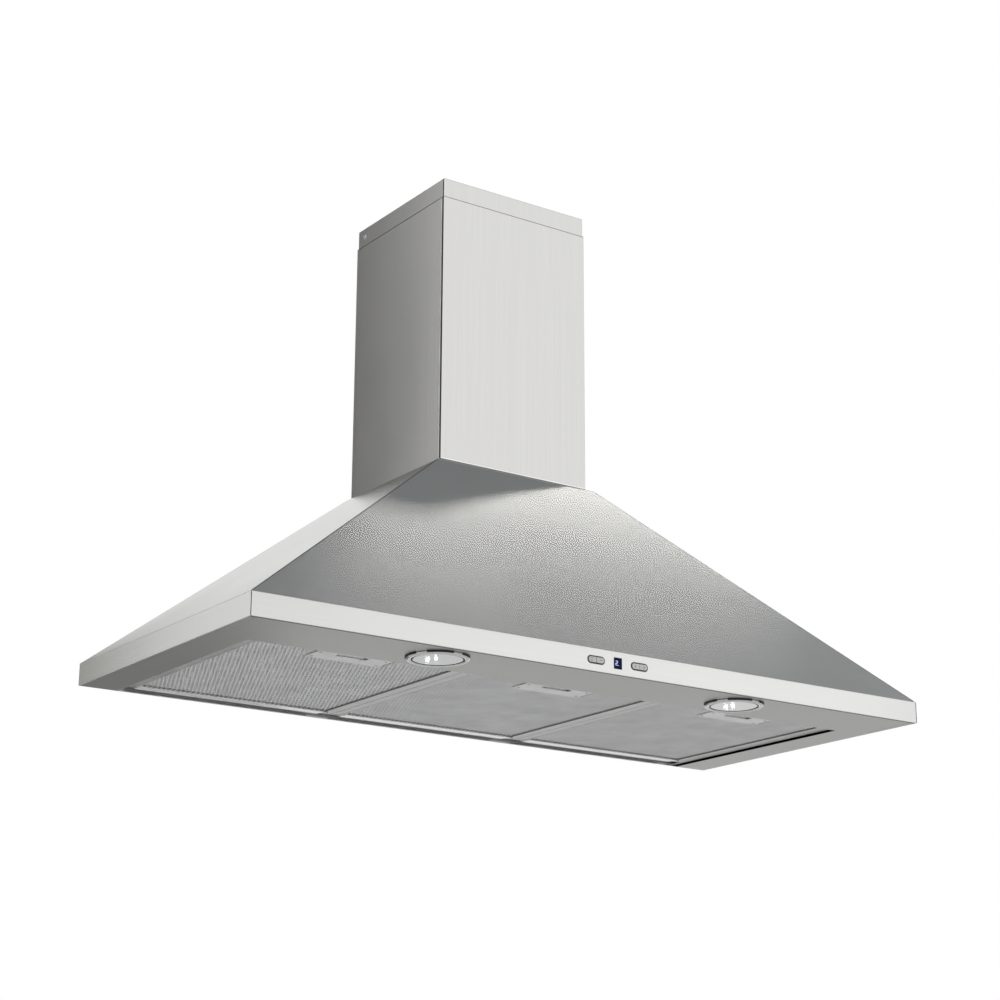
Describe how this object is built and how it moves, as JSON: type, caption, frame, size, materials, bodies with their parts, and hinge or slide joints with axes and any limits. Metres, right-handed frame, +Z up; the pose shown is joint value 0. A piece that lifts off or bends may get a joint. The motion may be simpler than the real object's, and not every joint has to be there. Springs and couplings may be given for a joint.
{
  "type": "chimney range hood",
  "caption": "Wall-mounted pyramid range hood in brushed steel: telescopic chimney, hinged mesh grease filters, recessed lamps, push keys and a centrifugal blower inside",
  "frame": {"origin": "midpoint between the two hanging holes, on the wall plane at the back of the rear panel", "axes": "+X to the right of someone facing the hood, +Y into the wall, +Z up"},
  "size_m": [0.9, 0.3957, 0.638],
  "materials": {
    "canopy_steel": "brushed stainless sheet",
    "chimney_steel": "stainless sheet, brushed upright",
    "galvanised": "galvanised sheet",
    "shaft_steel": "ground steel",
    "black_plastic": "moulded, fine texture",
    "flap_plastic": "moulded",
    "guard_paint": "semi-gloss black",
    "motor_paint": "satin grey",
    "fan_plastic": "moulded",
    "capacitor_plastic": "moulded",
    "gland_plastic": "moulded",
    "key_bezel": "moulded, dark grey",
    "board": "solder resist",
    "display": "dark window",
    "lamp_chrome": "polished ring",
    "lamp_glass": "lightly frosted",
    "reflector": "polished bowl",
    "bulb_glass": "clear",
    "filter_aluminium": "satin folded channel",
    "mesh_aluminium": "expanded mesh",
    "latch_aluminium": "smooth satin",
    "key": "light grey, satin"
  },
  "bodies": {
    "canopy": {"canopy_front": "canopy_steel", "canopy_left": "canopy_steel", "canopy_right": "canopy_steel", "canopy_top": "canopy_steel", "underside_frame": "canopy_steel", "rear_panel": "galvanised", "filter_rail": "galvanised", "lower_cover": "chimney_steel", "duct_collar": "black_plastic", "flap_pin": "shaft_steel", "outlet_adapter": "black_plastic", "blower_scroll": "galvanised", "blower_side_left": "galvanised", "blower_side_right": "galvanised", "inlet_guard": "guard_paint", "motor_bracket": "guard_paint", "motor": "motor_paint", "run_capacitor": "capacitor_plastic", "power_box": "black_plastic", "power_box_lid": "black_plastic", "cord_gland": "gland_plastic", "control_housing": "key_bezel", "control_board": "board", "display_window": "display", "lamp_rings": "lamp_chrome", "lamp_lenses": "lamp_glass", "lamp_reflectors": "reflector", "lamp_bulbs": "bulb_glass"},
    "upper_chimney": {"upper_cover": "chimney_steel", "upper_bracket": "galvanised"},
    "fan": {"impeller": "fan_plastic", "motor_shaft": "shaft_steel"},
    "flap_front": {"flap_front": "flap_plastic"},
    "flap_rear": {"flap_rear": "flap_plastic"},
    "filter_left": {"filter_frame_left": "filter_aluminium", "filter_mesh_left": "mesh_aluminium", "latch_plate_left": "latch_aluminium", "latch_spring_left": "shaft_steel"},
    "latch_left": {"latch_slider_left": "latch_aluminium"},
    "filter_middle": {"filter_frame_middle": "filter_aluminium", "filter_mesh_middle": "mesh_aluminium", "latch_plate_middle": "latch_aluminium", "latch_spring_middle": "shaft_steel"},
    "latch_middle": {"latch_slider_middle": "latch_aluminium"},
    "filter_right": {"filter_frame_right": "filter_aluminium", "filter_mesh_right": "mesh_aluminium", "latch_plate_right": "latch_aluminium", "latch_spring_right": "shaft_steel"},
    "latch_right": {"latch_slider_right": "latch_aluminium"},
    "key_light": {"key_light": "key"},
    "key_minus": {"key_minus": "key"},
    "key_plus": {"key_plus": "key"},
    "key_power": {"key_power": "key"}
  },
  "joints": [
    {"name": "chimney_slide", "type": "slide", "parent": "canopy", "child": "upper_chimney", "axis": [0, 0, 1], "range_m": [0, 0.3]},
    {"name": "fan_spin", "type": "hinge", "parent": "canopy", "child": "fan", "pos_m": [0, -0.172, -0.06], "axis": [1, 0, 0], "continuous": true},
    {"name": "flap_front_hinge", "type": "hinge", "parent": "canopy", "child": "flap_front", "pos_m": [0, -0.1, 0.095], "axis": [-1, 0, 0], "range_deg": [0, 75]},
    {"name": "flap_rear_hinge", "type": "hinge", "parent": "canopy", "child": "flap_rear", "pos_m": [0, -0.1, 0.095], "axis": [1, 0, 0], "range_deg": [0, 75]},
    {"name": "filter_left_hinge", "type": "hinge", "parent": "canopy", "child": "filter_left", "pos_m": [-0.2693, -0.018, -0.183], "axis": [1, 0, 0], "range_deg": [0, 75]},
    {"name": "latch_left_slide", "type": "slide", "parent": "filter_left", "child": "latch_left", "axis": [0, 1, 0], "range_m": [0, 0.004], "stiffness_N_per_m": 300, "springref_m": -0.002, "deforming": ["latch_spring_left"]},
    {"name": "filter_middle_hinge", "type": "hinge", "parent": "canopy", "child": "filter_middle", "pos_m": [-0.0033, -0.018, -0.183], "axis": [1, 0, 0], "range_deg": [0, 75]},
    {"name": "latch_middle_slide", "type": "slide", "parent": "filter_middle", "child": "latch_middle", "axis": [0, 1, 0], "range_m": [0, 0.004], "stiffness_N_per_m": 300, "springref_m": -0.002, "deforming": ["latch_spring_middle"]},
    {"name": "filter_right_hinge", "type": "hinge", "parent": "canopy", "child": "filter_right", "pos_m": [0.2627, -0.018, -0.183], "axis": [1, 0, 0], "range_deg": [0, 75]},
    {"name": "latch_right_slide", "type": "slide", "parent": "filter_right", "child": "latch_right", "axis": [0, 1, 0], "range_m": [0, 0.004], "stiffness_N_per_m": 300, "springref_m": -0.002, "deforming": ["latch_spring_right"]},
    {"name": "key_light_push", "type": "slide", "parent": "canopy", "child": "key_light", "axis": [0, 1, 0], "range_m": [0, 0.0008], "stiffness_N_per_m": 600, "springref_m": -0.001},
    {"name": "key_minus_push", "type": "slide", "parent": "canopy", "child": "key_minus", "axis": [0, 1, 0], "range_m": [0, 0.0008], "stiffness_N_per_m": 600, "springref_m": -0.001},
    {"name": "key_plus_push", "type": "slide", "parent": "canopy", "child": "key_plus", "axis": [0, 1, 0], "range_m": [0, 0.0008], "stiffness_N_per_m": 600, "springref_m": -0.001},
    {"name": "key_power_push", "type": "slide", "parent": "canopy", "child": "key_power", "axis": [0, 1, 0], "range_m": [0, 0.0008], "stiffness_N_per_m": 600, "springref_m": -0.001}
  ]
}
